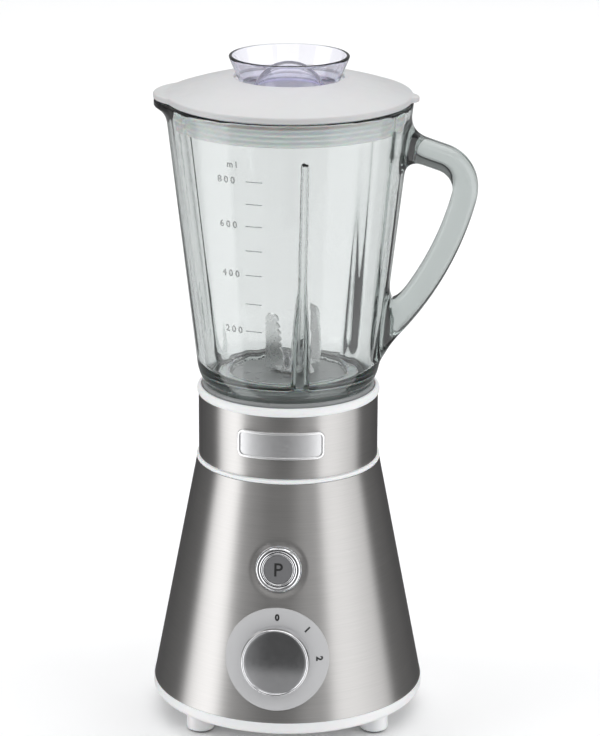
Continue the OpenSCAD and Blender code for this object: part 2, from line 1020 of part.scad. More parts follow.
// Flat wing outline along +Y: wide root, round tip, saw teeth on one edge
module wing_outline(length, root_w, tip_w, teeth) {
    pitch = 3.4;
    start = length * 0.3;
    tooth_out = 0.3;
    tooth_in = 1.3;
    edge = [
        for (i = [0:teeth - 1], k = [0, 1])
            let (y = start + pitch * (i + k * 0.7))
            [root_w / 2 + (tip_w - root_w) / 2 * y / length + (k == 0 ? tooth_out : -tooth_in), y]
    ];
    polygon(concat(
        [[-root_w / 2, 0], [root_w / 2, 0]],
        edge,
        [for (a = [0:30:180]) [tip_w / 2 * cos(a), length - tip_w / 2 + tip_w / 2 * sin(a)]]
    ));
}

module upper_blade() {
    wing_starts = [8, 12.5];
    blade_turn = 216;
    wing_l = 30;
    wing_skew = 38;
    wing_lean = 8;
    color("silver")
        translate([0, 0, upper_blade_z])
            difference() {
                union() {
                    cylinder(h = blade_t, r = 7);
                    for (side = [0, 1])
                        rotate([0, 0, blade_turn + 180 * side]) {
                            translate([0, -5, 0])
                                cube([wing_starts[side] + 1, 10, blade_t]);
                            translate([wing_starts[side], 0, 0.25])
                                rotate([0, 0, wing_skew])
                                    rotate([0, wing_lean, 0])
                                        rotate([90, 0, 90])
                                            linear_extrude(height = blade_t)
                                                wing_outline(wing_l, 11, 7, 5);
                        }
                }
                translate([0, 0, -5])
                    cylinder(h = 20, r = shaft_r);
            }
}

module lower_blade() {
    blade_turn = 126;
    color("silver")
        translate([0, 0, lower_blade_z])
            difference() {
                union() {
                    cylinder(h = blade_t, r = 7);
                    for (side = [0, 180])
                        rotate([0, 0, blade_turn + side - 90])
                            translate([0, 3, 0.2])
                                rotate([9, 0, 0])
                                    linear_extrude(height = blade_t)
                                        wing_outline(20, 11, 6, 0);
                }
                translate([0, 0, -5])
                    cylinder(h = 20, r = shaft_r);
                translate([0, 0, blade_t])
                    cylinder(h = 10, r = 9.5);
            }
}

// ---- Lid ----

module lid_plan() {
    lobe_r = spout_r + 1.5;
    lobe_x = spout_x - 1.2;
    tab_r = 7;
    circle(r = lid_r);
    translate([-lobe_x, 0])
        circle(r = lobe_r);
    translate([lid_r + 3.2 - tab_r, 0])
        circle(r = tab_r);
}

// Point of the lid's crown at radius r, drop below its outer surface
function crown_point(r, drop) = [r, crown_z + sqrt(pow(lid_crown_r - drop, 2) - r * r)];

// Domed ring from the cap's hole to the lid's edge, carried on level past the spout's lobe
module lid_crown() {
    steps = 24;
    step = (lid_r - lid_hole_r) / steps;
    lobe_end = spout_x + spout_r + 6;
    outer = [for (i = [steps:-1:0]) crown_point(lid_hole_r + step * i, 0)];
    inner = [for (i = [0:steps]) crown_point(lid_hole_r + step * i, lid_t)];
    turned(concat(outer, inner, [[lobe_end, inner[steps][1]], [lobe_end, outer[0][1]]]));
}

module lid_plate() {
    color("white") {
        intersection() {
            translate([0, 0, z_lid - 10])
                linear_extrude(height = 40)
                    lid_plan();
            lid_crown();
        }
        ring(plug_r - 2, plug_r, seal_low + 0.4, z_lid + 3.2);
    }
}

// Tube under the lid's hole that holds the measuring cap
module lid_chimney() {
    wall = 1.8;
    funnel_h = 6;
    ledge_r = chimney_r - 1.6;
    ledge_h = 1.6;
    top = lid_top - lid_t - 0.1;
    color("white")
        turned([
            [lid_hole_r, top], [chimney_r, lid_top - funnel_h], [chimney_r, chimney_low + ledge_h],
            [ledge_r, chimney_low + ledge_h], [ledge_r, chimney_low], [chimney_r + wall, chimney_low],
            [chimney_r + wall, lid_top - funnel_h - 0.6], [lid_hole_r + 2.2, top - 0.6]
        ]);
}

module lid_seal() {
    base = plug_r + 1.4;
    pitch = 2.6;
    rib_h = 1.3;
    ribs = [
        for (i = [0:3])
            let (z = seal_low + i * pitch, r = glass_r(z) - glass_t - 0.35)
            each [[base, z], [r, z + 0.2], [r, z + rib_h - 0.2], [base, z + rib_h]]
    ];
    color("white")
        turned(concat([[plug_r, seal_low]], ribs, [[base, z_lid - 1.4], [plug_r, z_lid - 1.4]]));
}

module cap() {
    dome_r = 17.2;
    dome_h = 11.2;
    curve_r = (dome_r * dome_r + dome_h * dome_h) / (2 * dome_h);
    floor_z = cap_neck_z - 0.3;
    centre_z = floor_z + dome_h - curve_r;
    outer_end = asin(dome_r / curve_r);
    inner_end = acos((curve_r - dome_h - cap_t) / (curve_r - cap_t));
    dome_under = [
        for (i = [0:6])
            let (a = inner_end * i / 6)
            [(curve_r - cap_t) * sin(a), centre_z + (curve_r - cap_t) * cos(a)]
    ];
    dome_top = [
        for (i = [6:-1:0])
            let (a = outer_end * i / 6)
            [curve_r * sin(a), centre_z + curve_r * cos(a)]
    ];
    color("lavender", 0.5)
        turned(concat(
            dome_under,
            [[cap_neck_r - cap_t, floor_z - cap_t], [cap_neck_r - cap_t, cap_low]],
            [[cap_neck_r, cap_low], [cap_neck_r, cap_neck_z], [cap_r - 0.4, cap_top - 1.2]],
            arc_points([cap_r, cap_top - 0.7], [cap_r - 1.6, cap_top - 0.3], 0.85, 4),
            [[cap_neck_r - cap_t + 0.5, floor_z]],
            dome_top
        ));
}

bottom_cover();
base_skirt();
mid_ring();
collar_band();
jug_seat();
inner_housing();
cord_gland();
terminal_block();
cover_screws();
badge_plate();
dial_plate();
pulse_bezel();
pulse_button();
pulse_insert();
pulse_spring();
pulse_switch();
knob_rim();
knob_face();
switch_shaft();
rotary_switch();
stator_core();
field_coils();
upper_bracket();
lower_bracket();
upper_bearing();
lower_bearing();
brush_holders();
carbon_brushes();
rubber_mounts();
mount_screws();
motor_screws();
motor_shaft();
rotor_core();
rotor_windings();
commutator();
cooling_fan();
drive_coupling();
jug_glass();
blade_base();
jug_gasket();
blade_bush();
blade_shaft();
blade_washer();
lower_blade();
upper_blade();
blade_nut();
driven_coupling();
lid_plate();
lid_chimney();
lid_seal();
cap();
for (i = [1:4]) {
    foot(i);
    foot_pad(i);
}
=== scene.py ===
import json
import math

import bmesh
import bpy
import numpy as np
from mathutils import Matrix, Vector


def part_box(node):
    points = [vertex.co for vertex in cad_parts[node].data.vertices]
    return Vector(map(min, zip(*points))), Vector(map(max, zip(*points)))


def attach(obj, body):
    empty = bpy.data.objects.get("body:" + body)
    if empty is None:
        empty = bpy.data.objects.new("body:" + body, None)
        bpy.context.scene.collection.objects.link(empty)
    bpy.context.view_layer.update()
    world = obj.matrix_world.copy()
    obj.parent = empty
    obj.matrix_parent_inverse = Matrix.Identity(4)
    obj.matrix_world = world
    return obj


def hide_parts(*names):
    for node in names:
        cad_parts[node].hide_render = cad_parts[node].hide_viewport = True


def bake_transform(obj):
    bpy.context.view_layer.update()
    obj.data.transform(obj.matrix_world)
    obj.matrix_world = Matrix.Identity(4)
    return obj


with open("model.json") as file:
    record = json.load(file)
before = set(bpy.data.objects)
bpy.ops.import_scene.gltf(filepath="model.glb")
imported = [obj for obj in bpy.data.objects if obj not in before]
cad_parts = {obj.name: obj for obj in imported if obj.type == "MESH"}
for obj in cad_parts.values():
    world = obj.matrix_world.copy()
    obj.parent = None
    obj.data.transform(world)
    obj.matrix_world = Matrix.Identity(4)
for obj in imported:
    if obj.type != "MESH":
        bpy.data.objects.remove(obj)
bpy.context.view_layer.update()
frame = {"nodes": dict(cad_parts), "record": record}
nodes = frame["nodes"]
scene = bpy.context.scene
MM = 0.001


# ---- sizes shared with the CAD frame, in millimetres ----

def top_of(node):
    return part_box(node)[1].z / MM


def low_of(node):
    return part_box(node)[0].z / MM


def half_width(node):
    low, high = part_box(node)
    return (high.y - low.y) / 2 / MM


Z_SKIRT = low_of("base_skirt")
Z_MID = top_of("base_skirt")
BASE_R = half_width("base_skirt")
SKIRT_TOP_R = 46.8
SHEET_T = 0.8
TILT = math.atan((BASE_R - SKIRT_TOP_R) / (Z_MID - Z_SKIRT))
PULSE_Z = Z_SKIRT + 77.1
PULSE_R = 8.6
KNOB_Z = Z_SKIRT + 32.3
KNOB_R = 17.5
KNOB_H = 10.6
GLAND_Z = Z_SKIRT + 11.5
Z_RIM = top_of("jug_seat")
Z_WALL = Z_RIM + 12.7
Z_GLASS = top_of("jug_glass")
JUG_LOW_R = 46.4
JUG_RIM_R = 61.9
GLASS_T = 3.8
GLASS_FLOOR = Z_RIM + 7.7
FOOT_LOW = low_of("jug_glass")
SPOUT_X = 41.0
SPOUT_R = 26.5
SPOUT_CONE = 6.0
SPOUT_CONE_W = 8.0
SPOUT_LIP = 3.4
LID_R = 61.4
LID_T = 2.0
CROWN_R = 181.0
LID_HOLE_R = 27.4
PLUG_R = 53.6
Z_LID = Z_GLASS + 1.2
CROWN_Z = Z_LID + LID_T - math.sqrt(CROWN_R ** 2 - LID_R ** 2)
SEAL_LOW = low_of("lid_seal")
CAP_R = 29.9
CAP_TOP = top_of("cap")
CAP_LOW = low_of("cap")
CAP_NECK_R = 24.4
CAP_T = 1.6


def skirt_r(z):
    return BASE_R - (BASE_R - SKIRT_TOP_R) * (z - Z_SKIRT) / (Z_MID - Z_SKIRT)


def glass_r(z):
    return JUG_LOW_R + (JUG_RIM_R - JUG_LOW_R) * (z - Z_WALL) / (Z_GLASS - Z_WALL)


# ---- camera, floor and light ----

CAMERA_SPOT = (0.12704, -1.44238, 0.6294)
CAMERA_LENS = 145.5
CAMERA_AZIMUTH = 4.8
CAMERA_DOWN = 17.12
CAMERA_ROLL = 0.24
LIGHT_AIM = Vector((0, 0, 0.15))
FLOOR_Z = -0.0003
SKY_COLOR = (0.985, 0.99, 1.0, 1)
SKY_LEVEL = 0.08
# Bright bands: azimuth, inner and outer half width in degrees, and strength.
SKY_BANDS = (
    (-74, 13, 23, 2.2),
    (-54, 4, 46, 0.4),
    (74, 26, 33, 1.45),
    (48, 6, 42, 0.5),
)
# Smooth rises: the share of the direction that points up, back or down where each starts and
# ends, and how strong it gets.
BANDS_END = (0.55, 0.8, 1.0)
REAR_HEIGHT = (0.0, 0.12, 0.26)
REAR_SIDE = (-0.3, 0.5, 1.0)
TOP_GLOW = (0.45, 0.85, 0.45)
LOW_GLOW = (0.03, 0.14, 0.2)


def make_camera():
    data = bpy.data.cameras.new("camera")
    data.lens = CAMERA_LENS
    data.sensor_width = 36
    camera = bpy.data.objects.new("camera", data)
    turn = (
        Matrix.Rotation(math.radians(CAMERA_AZIMUTH), 4, "Z")
        @ Matrix.Rotation(math.radians(90 - CAMERA_DOWN), 4, "X")
        @ Matrix.Rotation(math.radians(CAMERA_ROLL), 4, "Z")
    )
    camera.matrix_world = Matrix.Translation(CAMERA_SPOT) @ turn
    scene.collection.objects.link(camera)
    scene.camera = camera


def area_light(name, azimuth, distance, height, width, tall, power):
    data = bpy.data.lights.new(name, "AREA")
    data.shape = "RECTANGLE"
    data.size = width
    data.size_y = tall
    data.energy = power
    lamp = bpy.data.objects.new(name, data)
    a = math.radians(azimuth)
    lamp.location = (distance * math.sin(a), -distance * math.cos(a), height)
    lamp.rotation_mode = "QUATERNION"
    lamp.rotation_quaternion = (lamp.location - LIGHT_AIM).to_track_quat("Z", "Y")
    scene.collection.objects.link(lamp)


def make_world():
    """Dim even sky, soft bright bands at both sides, and a glow at the rear, overhead and below."""
    world = bpy.data.worlds.new("studio")
    world.use_nodes = True
    tree = world.node_tree
    background = tree.nodes["Background"]
    direction = tree.nodes.new("ShaderNodeTexCoord").outputs["Generated"]

    def vector(operation, first, second=None):
        made = tree.nodes.new("ShaderNodeVectorMath")
        made.operation = operation
        tree.links.new(first, made.inputs[0])
        if second is not None:
            made.inputs[1].default_value = second
        return made.outputs["Value" if operation == "DOT_PRODUCT" else "Vector"]

    def math_node(operation, first, second):
        made = tree.nodes.new("ShaderNodeMath")
        made.operation = operation
        for socket, value in zip(made.inputs, (first, second)):
            if isinstance(value, (int, float)):
                socket.default_value = value
            else:
                tree.links.new(value, socket)
        return made.outputs[0]

    def step(value, start, end, strength):
        made = tree.nodes.new("ShaderNodeMapRange")
        made.interpolation_type = "SMOOTHSTEP"
        for key, number in (("From Min", start), ("From Max", end), ("To Min", 0), ("To Max", strength)):
            made.inputs[key].default_value = number
        tree.links.new(value, made.inputs["Value"])
        return made.outputs["Result"]

    level = vector("NORMALIZE", vector("MULTIPLY", direction, (1, 1, 0)))
    height = vector("DOT_PRODUCT", direction, (0, 0, 1))
    under = math_node("SUBTRACT", 1.0, step(height, *BANDS_END))
    total = SKY_LEVEL
    for azimuth, inner, outer, strength in SKY_BANDS:
        a = math.radians(azimuth)
        side = vector("DOT_PRODUCT", level, (math.sin(a), -math.cos(a), 0))
        band = step(side, math.cos(math.radians(outer)), math.cos(math.radians(inner)), strength)
        total = math_node("ADD", math_node("MULTIPLY", band, under), total)
    back = vector("DOT_PRODUCT", level, (0, 1, 0))
    rear = math_node("MULTIPLY", step(height, *REAR_HEIGHT), step(back, *REAR_SIDE))
    total = math_node("ADD", rear, total)
    total = math_node("ADD", step(height, *TOP_GLOW), total)
    total = math_node("ADD", step(math_node("MULTIPLY", height, -1.0), *LOW_GLOW), total)
    tree.links.new(total, background.inputs["Strength"])
    background.inputs["Color"].default_value = SKY_COLOR
    scene.world = world


def make_light():
    area_light("softbox_top", azimuth=178, distance=0.9, height=2.2, width=3.0, tall=3.0, power=36)
    area_light("softbox_front", azimuth=8, distance=1.6, height=1.5, width=1.5, tall=1.0, power=5.2)
    scene.view_settings.view_transform = "Standard"


# ---- node materials ----

NOISE_SPAN = (0.3, 0.7)
WAVE_TURN = 6.28
# Brush lines, coarse and fine: how often they change round the axis and along it.
BRUSH_LINES = ((1.6, 1500), (3.5, 4200))


class Shader:
    """One Principled material and the nodes that feed it."""

    def __init__(self, name):
        self.material = bpy.data.materials.new(name)
        self.material.use_nodes = True
        self.tree = self.material.node_tree
        self.bsdf = self.tree.nodes["Principled BSDF"]
        self.output = self.tree.nodes["Material Output"]
        self.place = self.tree.nodes.new("ShaderNodeTexCoord").outputs["Object"]

    def put(self, **values):
        for key, value in values.items():
            self.bsdf.inputs[key.replace("_", " ")].default_value = value

    def node(self, kind, **settings):
        made = self.tree.nodes.new(kind)
        for key, value in settings.items():
            if hasattr(made, key):
                setattr(made, key, value)
            else:
                made.inputs[key.replace("_", " ")].default_value = value
        return made

    def link(self, a, b):
        self.tree.links.new(a, b)

    def vector(self, operation, first, second=None, **settings):
        """Vector maths. The second input is a constant or another node's output."""
        made = self.node("ShaderNodeVectorMath", operation=operation, **settings)
        self.link(first, made.inputs[0])
        if isinstance(second, tuple):
            made.inputs[1].default_value = second
        elif second is not None:
            self.link(second, made.inputs[1])
        return made.outputs["Vector"]

    def noise(self, scale, detail, rough=0.55, source=None):
        made = self.node("ShaderNodeTexNoise", Scale=scale, Detail=detail, Roughness=rough)
        self.link(source or self.place, made.inputs["Vector"])
        return made.outputs["Fac"]

    def bands(self, pitch, **settings):
        """Level bands, about one in every pitch millimetres."""
        made = self.node("ShaderNodeTexWave", wave_type="BANDS", bands_direction="Z", **settings)
        made.inputs["Scale"].default_value = 1 / (pitch * MM) / WAVE_TURN
        self.link(self.place, made.inputs["Vector"])
        return made.outputs["Fac"]

    def tint(self, value, first, second, span=NOISE_SPAN):
        made = self.node("ShaderNodeValToRGB")
        for element, position, color in zip(made.color_ramp.elements, span, (first, second)):
            element.position = position
            element.color = (*color, 1)
        self.link(value, made.inputs["Fac"])
        self.link(made.outputs["Color"], self.bsdf.inputs["Base Color"])

    def rough(self, value, low, high):
        start, end = NOISE_SPAN
        made = self.node("ShaderNodeMapRange", From_Min=start, From_Max=end, To_Min=low, To_Max=high)
        self.link(value, made.inputs["Value"])
        self.link(made.outputs["Result"], self.bsdf.inputs["Roughness"])

    def bump(self, value, height_mm, strength=1.0, after=None):
        made = self.node("ShaderNodeBump", Strength=strength, Distance=height_mm * MM)
        self.link(value, made.inputs["Height"])
        if after is not None:
            self.link(after, made.inputs["Normal"])
        self.link(made.outputs["Normal"], self.bsdf.inputs["Normal"])
        return made.outputs["Normal"]


def shade(color, factor):
    return tuple(c * factor for c in color)


def moulded(name, color, rough, grain, scatter=0.0):
    """Moulded plastic: faint cloudy colour, fine grain and a slightly uneven gloss."""
    s = Shader(name)
    s.tint(s.noise(28, 4), shade(color, 0.97), color)
    s.rough(s.noise(160, 3), *rough)
    first = s.bump(s.noise(1700, 2), grain)
    s.bump(s.noise(45, 2), grain * 6, 0.5, first)
    if scatter:
        s.put(Subsurface_Weight=scatter, Subsurface_Scale=0.004)
    return s.material


def rubbery(name, color):
    """Matt rubber, mottled and finely pitted."""
    s = Shader(name)
    s.tint(s.noise(120, 5), shade(color, 0.75), shade(color, 1.25))
    s.rough(s.noise(300, 4), 0.6, 0.85)
    s.bump(s.noise(2400, 3), 0.03)
    return s.material


def metal(name, color, rough, scale, depth, spread=0.08):
    """Bare metal: uneven colour and gloss, and fine grain."""
    s = Shader(name)
    s.put(Metallic=1.0)
    s.tint(s.noise(scale * 0.3, 4), shade(color, 1 - spread), color)
    s.rough(s.noise(scale, 4), *rough)
    s.bump(s.noise(scale * 5, 3), depth)
    return s.material


def brushed(name, color):
    """Sheet steel brushed round the drive axis: the lines run level all the way round."""
    s = Shader(name)
    s.put(Metallic=1.0, Anisotropic=0.9, Anisotropic_Rotation=0.25, Specular_Tint=(0.4, 0.4, 0.41, 1))
    around = s.vector("NORMALIZE", s.vector("MULTIPLY", s.place, (1, 1, 0)))
    height = s.vector("MULTIPLY", s.place, (0, 0, 1))
    places = []
    for turn, rise in BRUSH_LINES:
        a = s.vector("SCALE", around, Scale=turn)
        b = s.vector("SCALE", height, Scale=rise)
        places.append(s.vector("ADD", a, b))
    coarse = s.noise(1.0, 3, 0.6, places[0])
    fine = s.noise(1.0, 2, 0.6, places[1])
    mixed = s.node("ShaderNodeMath", operation="ADD")
    s.link(coarse, mixed.inputs[0])
    s.link(fine, mixed.inputs[1])
    halved = s.node("ShaderNodeMath", operation="MULTIPLY")
    halved.inputs[1].default_value = 0.5
    s.link(mixed.outputs[0], halved.inputs[0])
    pattern = halved.outputs[0]
    s.tint(pattern, shade(color, 0.93), shade(color, 1.04), (0.35, 0.65))
    s.rough(pattern, 0.37, 0.43)
    s.bump(pattern, 0.0015)
    tangent = s.node("ShaderNodeTangent", direction_type="RADIAL", axis="Z")
    s.link(tangent.outputs["Tangent"], s.bsdf.inputs["Tangent"])
    return s.material


def clear(name, ior, absorb, density, rough):
    """Clear solid with colour that deepens where the light goes a long way through it."""
    s = Shader(name)
    s.put(Base_Color=(1, 1, 1, 1), Transmission_Weight=1.0, IOR=ior, Roughness=rough)
    volume = s.node("ShaderNodeVolumeAbsorption", Density=density)
    volume.inputs["Color"].default_value = (*absorb, 1)
    s.link(volume.outputs["Volume"], s.output.inputs["Volume"])
    s.bump(s.noise(90, 2), 0.004)
    return s.material


def marked_glass(name):
    """Raised marks on pressed glass, which catch the light a little greyer than the wall."""
    s = Shader(name)
    s.put(Transmission_Weight=0.55, IOR=1.5, Roughness=0.25)
    s.tint(s.noise(300, 3), (0.42, 0.44, 0.44), (0.55, 0.57, 0.56))
    s.bump(s.noise(900, 2), 0.01)
    return s.material


def laminated(name, color):
    """Edges of stacked steel sheets."""
    s = Shader(name)
    s.put(Metallic=0.9)
    sheets = s.bands(0.5, Distortion=0.4)
    s.tint(sheets, shade(color, 0.55), color, (0.1, 0.7))
    s.rough(s.noise(500, 4), 0.4, 0.6)
    s.bump(sheets, 0.08)
    return s.material


def wound(name, color):
    """Enamelled copper wire wound in layers."""
    s = Shader(name)
    s.put(Metallic=0.8, Coat_Weight=0.6, Coat_Roughness=0.15)
    wires = s.bands(0.6, Distortion=1.2, Detail_Scale=60)
    s.tint(wires, shade(color, 0.45), color, (0.1, 0.7))
    s.rough(s.noise(300, 3), 0.25, 0.4)
    s.bump(wires, 0.2)
    return s.material


# Each material's recipe and the values it takes: a colour and roughness from and to in most.
MATERIALS = {
    "white_plastic": (moulded, (0.87, 0.87, 0.87), (0.3, 0.42), 0.006, 0.15),
    "brushed_steel": (brushed, (0.43, 0.42, 0.41)),
    "chrome": (metal, (0.80, 0.80, 0.81), (0.05, 0.12), 250, 0.001),
    "satin_silver": (metal, (0.84, 0.84, 0.84), (0.34, 0.46), 900, 0.006, 0.05),
    "grey_plastic": (moulded, (0.16, 0.16, 0.165), (0.4, 0.55), 0.02),
    "ivory_plastic": (moulded, (0.72, 0.67, 0.55), (0.4, 0.55), 0.02),
    "glass": (clear, 1.5, (0.53, 0.575, 0.562), 108, 0.0),
    "clear_plastic": (clear, 1.49, (0.55, 0.52, 0.84), 110, 0.01),
    "seal_rubber": (moulded, (0.97, 0.97, 0.97), (0.3, 0.45), 0.01, 0.5),
    "black_rubber": (rubbery, (0.03, 0.03, 0.032)),
    "blade_steel": (metal, (0.9, 0.9, 0.9), (0.24, 0.34), 700, 0.004),
    "steel": (metal, (0.58, 0.58, 0.59), (0.2, 0.32), 500, 0.004),
    "laminated_steel": (laminated, (0.30, 0.31, 0.33)),
    "copper": (wound, (0.72, 0.36, 0.18)),
    "bronze": (metal, (0.62, 0.44, 0.22), (0.3, 0.45), 1500, 0.02, 0.2),
    "carbon": (moulded, (0.02, 0.02, 0.022), (0.45, 0.6), 0.03),
    "die_cast": (metal, (0.55, 0.56, 0.58), (0.4, 0.55), 900, 0.03, 0.15),
    # The lid's white plastic drawn darker than white_plastic: painted shade that holds the upward-facing
    # lid top down under the overhead softbox.
    "lid_white": (moulded, (0.55, 0.552, 0.555), (0.34, 0.46), 0.006, 0.1),
    "dial_silver": (moulded, (0.55, 0.55, 0.555), (0.34, 0.44), 0.006),
    "base_grey": (moulded, (0.26, 0.27, 0.27), (0.25, 0.36), 0.01),
    "badge_silver": (metal, (0.68, 0.68, 0.685), (0.34, 0.46), 700, 0.006, 0.05),
    "knob_mirror": (metal, (0.84, 0.84, 0.85), (0.1, 0.16), 300, 0.0015),
    "glass_mark": (marked_glass,),
    "print_black": (moulded, (0.02, 0.02, 0.02), (0.35, 0.5), 0.004),
}


def make_materials():
    return {name: recipe(name, *values) for name, (recipe, *values) in MATERIALS.items()}


def floor_material():
    s = Shader("floor_paper")
    s.tint(s.noise(2.5, 3), (0.93, 0.93, 0.93), (0.95, 0.95, 0.95))
    s.rough(s.noise(40, 3), 0.75, 0.9)
    s.bump(s.noise(900, 2), 0.02)
    return s.material


def make_floor():
    bpy.ops.mesh.primitive_plane_add(size=24, location=(0, 0, FLOOR_Z))
    floor = bpy.context.object
    floor.name = "floor"
    floor.data.materials.append(floor_material())
    floor.visible_glossy = False


# ---- mesh helpers ----

FONT_CAP = 0.69


def new_piece(name, points, faces, material, body, slot, *replaced):
    """Mesh piece from points in millimetres, smooth shaded, riding on a body."""
    mesh = bpy.data.meshes.new(name)
    mesh.from_pydata([tuple(p) for p in np.asarray(points, float) * MM], [], faces)
    mesh.validate()
    made = bmesh.new()
    made.from_mesh(mesh)
    bmesh.ops.remove_doubles(made, verts=made.verts, dist=1e-7)
    bmesh.ops.recalc_face_normals(made, faces=made.faces)
    made.to_mesh(mesh)
    made.free()
    return finish_piece(name, mesh, material, body, slot, *replaced)


def finish_piece(name, mesh, material, body, slot, *replaced, angle=40):
    """Object of a mesh, smooth up to an angle in degrees. Without a body, it stays unattached."""
    mesh.materials.clear()
    mesh.materials.append(material)
    mesh.polygons.foreach_set("use_smooth", [True] * len(mesh.polygons))
    mesh.set_sharp_from_angle(angle=math.radians(angle))
    piece = bpy.data.objects.new(name, mesh)
    scene.collection.objects.link(piece)
    if body:
        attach(piece, body)
    if replaced:
        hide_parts(*replaced)
    return piece


def on_skirt(z):
    """Matrix that puts a local +Z along the skirt's outward normal at the front, in mm."""
    return Matrix.Translation((0, -skirt_r(z), z)) @ Matrix.Rotation(math.pi / 2 - TILT, 4, "X")


def moved(points, matrix):
    m = np.array(matrix)
    return np.asarray(points, float) @ m[:3, :3].T + m[:3, 3]


def spun(profile, count, closed=False):
    """Points and faces of a turned solid. An open profile starts and ends on the axis."""
    points, rows = [], []
    for r, z in profile:
        if r < 1e-6:
            rows.append([len(points)] * count)
            points.append((0, 0, z))
        else:
            rows.append(list(range(len(points), len(points) + count)))
            for i in range(count):
                a = 2 * math.pi * i / count
                points.append((r * math.cos(a), r * math.sin(a), z))
    faces = []
    pairs = list(zip(rows, rows[1:])) + ([(rows[-1], rows[0])] if closed else [])
    for one, two in pairs:
        for i in range(count):
            j = (i + 1) % count
            face = []
            for v in (one[i], one[j], two[j], two[i]):
                if v not in face:
                    face.append(v)
            if len(face) > 2:
                faces.append(face)
    return points, faces


def ring_faces(rings, count, closed=False):
    """Quads between successive rings of count points. Closed joins the last ring to the first."""
    faces = []
    for k in range(rings if closed else rings - 1):
        m = (k + 1) % rings
        for i in range(count):
            j = (i + 1) % count
            faces.append([k * count + i, k * count + j, m * count + j, m * count + i])
    return faces


def rounded(profile, radius, steps, closed=True):
    """Rounds the corners of an outline of (a, b) or (a, b, radius) points."""
    found = []
    count = len(profile)
    for i, corner in enumerate(profile):
        here = Vector(corner[:2])
        r = corner[2] if len(corner) > 2 else radius
        if (not closed and i in (0, count - 1)) or r <= 0:
            found.append(tuple(here))
            continue
        before = Vector(profile[i - 1][:2]) - here
        after = Vector(profile[(i + 1) % count][:2]) - here
        cut = min(before.length, after.length) * 0.48
        opening = before.angle(after)
        reach = min(cut, r / math.tan(opening / 2)) if opening > 1e-3 else cut
        if math.pi - opening < 0.02:
            found.append(tuple(here))
            continue
        p = here + before.normalized() * reach
        q = here + after.normalized() * reach
        for k in range(steps + 1):
            t = k / steps
            found.append(tuple(p * (1 - t) ** 2 + here * 2 * t * (1 - t) + q * t * t))
    return found


def arc(p, q, r, steps):
    """Points of an arc of radius r from p to q, bulging to the right of the way from p to q."""
    p, q = Vector(p), Vector(q)
    d = q - p
    half = d.length / 2
    side = Vector((-d.y, d.x)) / d.length
    c = (p + q) / 2 + side * math.sqrt(r * r - half * half)
    a = math.atan2(p.y - c.y, p.x - c.x)
    sweep = 2 * math.asin(half / r)
    return [
        (c.x + r * math.cos(a + sweep * i / steps), c.y + r * math.sin(a + sweep * i / steps))
        for i in range(steps + 1)
    ]


def lettering(text, size, thick, bold):
    """Points and faces of flat letters of that cap height in mm, centred, with a thickness."""
    data = bpy.data.curves.new("letters", "FONT")
    data.body = text
    data.size = size / FONT_CAP
    data.align_x = "CENTER"
    data.extrude = thick / 2
    data.offset = bold
    data.resolution_u = 4
    holder = bpy.data.objects.new("letters", data)
    scene.collection.objects.link(holder)
    mesh = bpy.data.meshes.new_from_object(holder)
    points = np.array([v.co for v in mesh.vertices], float).reshape(-1, 3)
    faces = [list(f.vertices) for f in mesh.polygons]
    bpy.data.objects.remove(holder)
    points[:, 1] -= (points[:, 1].max() + points[:, 1].min()) / 2
    return points, faces


# ---- jug: one smooth solid of pressed glass ----

def outline_distance(outline, r, z):
    """Signed distance to a closed outline in the (r, z) half plane, negative inside."""
    best = np.full(r.shape, 1e9)
    inside = np.zeros(r.shape, bool)
    for (ax, ay), (bx, by) in zip(outline, outline[1:] + outline[:1]):
        ex, ey = bx - ax, by - ay
        wx, wy = r - ax, z - ay
        t = np.clip((wx * ex + wy * ey) / max(ex * ex + ey * ey, 1e-12), 0, 1)
        dx, dy = wx - ex * t, wy - ey * t
        best = np.minimum(best, dx * dx + dy * dy)
        if abs(ey) > 1e-12:
            crosses = ((ay <= z) & (z < by)) | ((by <= z) & (z < ay))
            inside ^= crosses & (r < ax + ex * (z - ay) / ey)
    best = np.sqrt(best)
    return np.where(inside, -best, best)


def soft_min(a, b, k):
    h = np.maximum(k - np.abs(a - b), 0) / k
    return np.minimum(a, b) - h * h * k / 4


def soft_max(a, b, k):
    return -soft_min(-a, -b, k)


def box_distance(a, b, half_a, half_b, radius):
    qa = np.abs(a) - half_a + radius
    qb = np.abs(b) - half_b + radius
    outside = np.hypot(np.maximum(qa, 0), np.maximum(qb, 0))
    return outside + np.minimum(np.maximum(qa, qb), 0) - radius


# Handle: x, z and radius of its tight upper bend and of the long sweep below it, with the angles
# where each ends. A straight arm runs from the bend's top to the wall.
BEND = (71.8, Z_GLASS - 43.3, 16.3)
BEND_TOP = math.radians(71.6)
BEND_END = math.radians(-14)
SWEEP_R = 157.0
SWEEP_END = math.radians(-46)
SWEEP = (
    BEND[0] - (SWEEP_R - BEND[2]) * math.cos(BEND_END),
    BEND[1] - (SWEEP_R - BEND[2]) * math.sin(BEND_END),
    SWEEP_R,
)
HANDLE_HALF_T = 6.28
HANDLE_HALF_W = 7.6
HANDLE_CORNER = 4.4
HANDLE_ARM = 22
HANDLE_BLEND = 9.0
SPOUT_BLEND = 3.0
RIM_BLEND = 0.8
EDGE_BLEND = 1.2


def arc_distance(x, z, centre, start, end):
    """Distance in the handle's plane to an arc, with its ends as points."""
    cx, cz, r = centre
    angle = np.clip(np.arctan2(z - cz, x - cx), start, end)
    return np.hypot(x - cx - r * np.cos(angle), z - cz - r * np.sin(angle))


